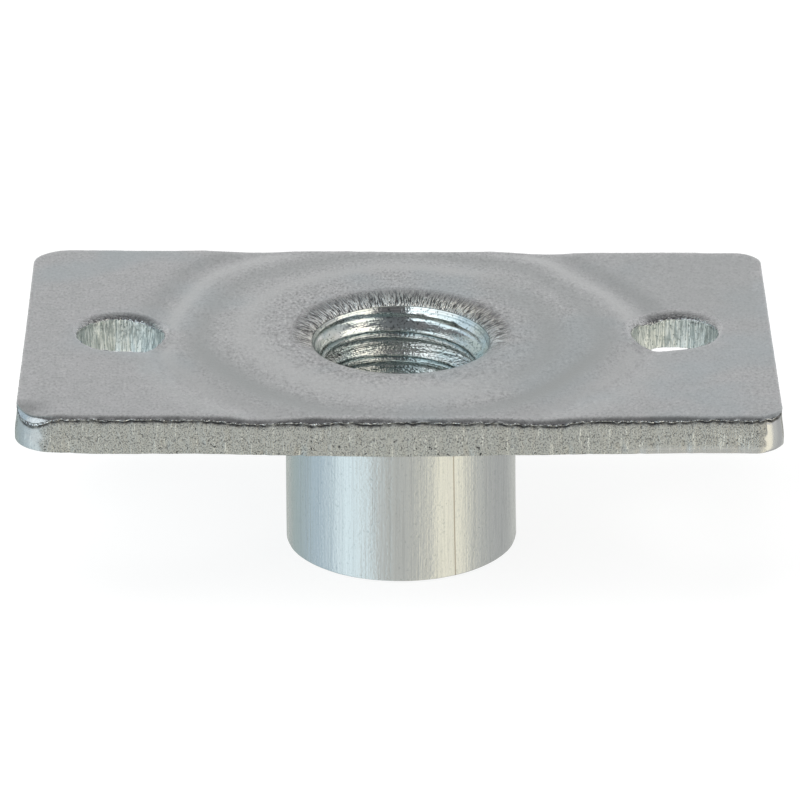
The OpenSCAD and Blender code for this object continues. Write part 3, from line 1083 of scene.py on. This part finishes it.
# The cone's paler colours are a painted highlight; the thread's colours above are the darker copy.
lit_cone, lit_cone_film = (0.86, 0.86, 0.84), (0.68, 0.75, 0.76)
# The dark blue-green colour is painted shade in the seams and at the root, and also darkens two lines and the
# first trace on the cone.
thread_spot, thread_shade_teal = (0.30, 0.34, 0.34), (0.12, 0.19, 0.20)
line_relief, mottle_relief, chip_relief, relief_on_cone = 0.060, 0.014, 0.036, 0.3


def make_thread_finish():
    """Bright metal with fine lines that lie across the axis, grain, a blue-green film, and dark blue-green
    painted shade in the seams and at the root. The cone, which carries polish, is smoother, and its paler
    colours are a painted highlight."""
    finish = new_finish("cut_zinc_thread", zinc, 0.13)
    lines = noise(finish, (0.22, 0.22, 8.0), 3.0, 0.65)
    grain = noise(finish, (6.5, 6.5, 8.0), 1.0, 0.5)
    mottle = noise(finish, (2.4, 2.4, 3.0), 3.0, 0.6)
    film = remap(finish, noise(finish, (0.35, 0.35, 1.4), 2.0, 0.5), 0.46, 0.66)
    on_cone = wear_and_painted_light(finish, "polish_and_sheen")
    smooth_cone = between(finish, on_cone, 1.0, relief_on_cone)
    shade = mix(finish, film, thread_plain, thread_film)
    coats = ((on_cone, mix(finish, film, lit_cone, lit_cone_film)),
             (remap(finish, grain, 0.42, 0.28), thread_spot), (wear_and_painted_light(finish, "shade_and_marks"), thread_shade_teal))
    feed(finish, "Base Color", paint(finish, shade, *coats))
    feed(finish, "Roughness", between(finish, on_cone, 0.13, 0.07))
    below = relief(finish, times(finish, lines, smooth_cone), line_relief)
    below = relief(finish, mottle, mottle_relief, below)
    relief(finish, times(finish, grain, smooth_cone), chip_relief, below)
    return finish["material"]


# %% [markdown]
# Ironing leaves fine streaks along the collar, which smear what the metal mirrors. They are raised as real
# relief, broad and hair-fine, so that they also show from close by.

# %% Finish: ironed collar
hair_dark, ironed_spot, scratch_brown = (0.54, 0.55, 0.55), (0.48, 0.50, 0.50), (0.30, 0.27, 0.24)
ironed_relief, hair_relief, collar_relief = 0.010, 0.014, 0.022
scratch_plane, scratch_w, scratch_core, scratch_share = (1.0, 0.491, 0.0236), 0.06, 0.02, 0.85


def make_collar_finish():
    """Streaks that run the collar's length, broad ones and hair-fine ones, in height, colour and roughness,
    over a faint speckle. One hair-thin brown scratch lies where an upright plane cuts the wall in front."""
    finish = new_finish("ironed_zinc_collar", zinc, 0.24)
    streaks = noise(finish, (3.0, 3.0, 0.06), 4.0, 0.6)
    hairs = noise(finish, (9.0, 9.0, 0.10), 3.0, 0.7)
    grain = noise(finish, (6.0, 6.0, 5.0), 3.0, 0.65)
    off_plane = vectors(finish, "DOT_PRODUCT", finish["object"], scratch_plane)
    in_front = remap(finish, along(finish, "Y"), 0.0, -1.0 * MM, 0.0, scratch_share)
    near = remap(finish, calculate(finish, "ABSOLUTE", off_plane), scratch_w * MM, scratch_core * MM)
    shade = mix(finish, remap(finish, hairs, 0.30, 0.55), hair_dark, zinc_bright)
    coats = (remap(finish, grain, 0.42, 0.28), ironed_spot), (times(finish, near, in_front), scratch_brown)
    feed(finish, "Base Color", paint(finish, shade, *coats))
    feed(finish, "Roughness", remap(finish, streaks, 0.35, 0.65, 0.28, 0.18))
    below = relief(finish, streaks, ironed_relief)
    relief(finish, grain, collar_relief, relief(finish, hairs, hair_relief, below))
    return finish["material"]


finish_makers = (make_plate_finish, make_roll_finish, make_sheared_finish, make_scored_finish,
                 make_mouth_finish, make_thread_finish, make_collar_finish)
for make in finish_makers:
    tee_nut.data.materials.append(make())
print("finishes:", [m.name for m in tee_nut.data.materials])

# %% [markdown]
# Metal shows what stands round it, so the light is a tent: pale walls that darken upwards, a pale table
# below the horizon, and soft-edged panels hung in it. A broad dark one lies overhead with a darker gap in
# front, dim ones stand at the sides, and bright bluish and cream ones face the collar and the plate. All
# this is the world's colour, worked out from the direction alone. The camera itself sees plain white.

# %% Light tent
def window(tree, value, low, high, soft):
    """1 between low and high, 0 outside, with soft sides."""
    rise = remap(tree, value, low - soft, low + soft)
    fall = remap(tree, value, high - soft, high + soft, 1.0, 0.0)
    return times(tree, rise, fall)


wall_low, wall_high = 0.78, 0.20
wall_foot, wall_top = 10.0, 75.0
table_colour, table_edge, horizon = (0.70, 0.71, 0.675), -12.0, 0.0
degrees = 180 / math.pi
side_boxes = (
    # bearings from the front, heights, softness, colour
    ((-150, -112), (-90, 60), 12, (0.50, 0.60, 0.60)),
    ((-112, -74), (-90, 60), 10, (0.61, 0.76, 0.86)),
    ((98, 140), (-90, 60), 12, (0.57, 0.58, 0.57)),
    ((-125, 125), (42, 120), 8, (0.19, 0.19, 0.195)),
    ((-16, 36), (-3, 80), 6, (0.15, 0.15, 0.155)),
    ((-74, -29), (-75, 0), 5, (1.10, 1.28, 1.34)),
    ((31, 70), (-75, 0), 4, (1.30, 1.25, 1.04)),
    ((-50, -12), (17, 56), 3, (1.48, 1.60, 1.66)),
    ((-84, -50), (17, 56), 6, (1.20, 1.31, 1.36)),
    ((42, 92), (17, 56), 3, (1.58, 1.52, 1.36)),
)


def make_tent():
    """Brightness falls from the walls' foot to the top. Each box is laid over it as far as two soft
    windows reach: one over the bearing from the front, one over the height, both in degrees."""
    world = bpy.data.worlds.new("light_tent")
    bpy.context.scene.world = world
    tent = tree_of(world)
    way = node(tent, "SeparateXYZ", {0: node(tent, "TexCoord", {})["Generated"]})
    turn = calculate(tent, "ARCTAN2", way["X"], times(tent, way["Y"], -1.0))
    bearing = times(tent, turn, degrees)
    height = times(tent, calculate(tent, "ARCSINE", way["Z"]), degrees)
    wall = remap(tent, height, wall_foot, wall_top, wall_low, wall_high)
    colour = mix(tent, remap(tent, height, table_edge, horizon), table_colour, wall)
    for bearings, heights, soft, light in side_boxes:
        beside = window(tent, bearing, *bearings, soft)
        colour = mix(tent, times(tent, beside, window(tent, height, *heights, soft)), colour, light)
    seen = node(tent, "LightPath", {})["Is Camera Ray"]
    put(tent, tent["nodes"]["Background"].inputs["Color"], mix(tent, seen, colour, (1.0, 1.0, 1.0)))
    return world


print("tent:", make_tent().name)

# %% [markdown]
# The floor lies under the part's lowest point, pale and wide. It shows white where nothing shades it, and
# keeps the part's soft shadow. Metal sees the tent's own table, so the floor is hidden from reflections.

# %% Floor and overhead lamp
floor_half = 2.0
floor_grey, floor_glow, glow_strength = (0.9, 0.9, 0.9), 0.72, 1.16


def make_floor():
    """One wide flat face at the height of the part's lowest point. Its finish is pale and matt, and part of
    it glows for the camera alone, so that its open stretches come out white and the shadow stays."""
    x, y = np.meshgrid((-floor_half, floor_half), (-floor_half, floor_half))
    corners = stack(x, y, min(corner[2] for corner in tee_nut.bound_box)).reshape(-1, 3)
    mesh = bpy.data.meshes.new("floor")
    mesh.from_pydata(corners, [], [(0, 1, 3, 2)])
    floor = bpy.data.objects.new("floor", mesh)
    bpy.context.scene.collection.objects.link(floor)
    material = bpy.data.materials.new("pale_floor")
    tree = tree_of(material)
    matt = tree["nodes"]["Principled BSDF"]
    for socket, value in (("Base Color", floor_grey), ("Roughness", 1.0), ("Specular IOR Level", 0.0)):
        put(tree, matt.inputs[socket], value)
    glow = node(tree, "Emission", {"Strength": glow_strength})[0]
    share = times(tree, node(tree, "LightPath", {})["Is Camera Ray"], floor_glow)
    surface = node(tree, "MixShader", {0: share, 1: matt.outputs[0], 2: glow})[0]
    put(tree, tree["nodes"]["Material Output"].inputs["Surface"], surface)
    mesh.materials.append(material)
    floor.visible_glossy = False
    return floor


def make_lamp(name, place_mm, size_mm, watts, colour):
    """A square soft box that points at the collar. Reflections come from the tent, so the lamp itself
    is hidden from them."""
    light = bpy.data.lights.new(name, "AREA")
    light.size = size_mm * MM
    light.energy = watts
    light.color = colour
    lamp = bpy.data.objects.new(name, light)
    lamp.location = [v * MM for v in place_mm]
    lamp.rotation_mode = "QUATERNION"
    lamp.rotation_quaternion = lamp.location.to_track_quat("Z", "Y")
    lamp.visible_glossy = False
    bpy.context.scene.collection.objects.link(lamp)
    return lamp


make_floor()
make_lamp("overhead_soft_box", (-60, -40, 300), 260, 0.6, (1.0, 1.0, 1.0))

# %% [markdown]
# The camera looks down by 24 degrees through a long lens, so the plate's sides hardly converge. It is
# placed from the point that it looks at, by bearing, height, distance and roll.

# %% Camera
aim_mm = (-0.05, -1.55, -1.51)
camera_bearing, camera_height, camera_roll = math.radians(-0.435), math.radians(23.845), math.radians(0.309)
camera_distance_mm, camera_lens_mm, camera_sensor_mm = 374.6, 299.43, 36.0
camera_sees_from, camera_sees_to = 0.01, 10.0


def make_camera():
    """Back = (sin b cos h, -cos b cos h, sin h). The camera stands at aim + back * distance, its own axes
    turned by the roll round back."""
    b, h, r = camera_bearing, camera_height, camera_roll
    back = np.array([math.sin(b) * math.cos(h), -math.cos(b) * math.cos(h), math.sin(h)])
    right = np.array([math.cos(b), math.sin(b), 0.0])
    up = np.cross(back, right)
    right, up = right * math.cos(r) + up * math.sin(r), up * math.cos(r) - right * math.sin(r)
    spot = (np.array(aim_mm) + back * camera_distance_mm) * MM
    pose = np.eye(4)
    pose[:3, 0], pose[:3, 1], pose[:3, 2], pose[:3, 3] = right, up, back, spot
    data = bpy.data.cameras.new("long_lens")
    data.lens = camera_lens_mm
    data.sensor_width = camera_sensor_mm
    data.clip_start, data.clip_end = camera_sees_from, camera_sees_to
    camera = bpy.data.objects.new("long_lens", data)
    camera.matrix_world = Matrix(pose)
    bpy.context.scene.collection.objects.link(camera)
    bpy.context.scene.camera = camera
    return camera


camera = make_camera()
bpy.context.scene.view_settings.view_transform = "Standard"
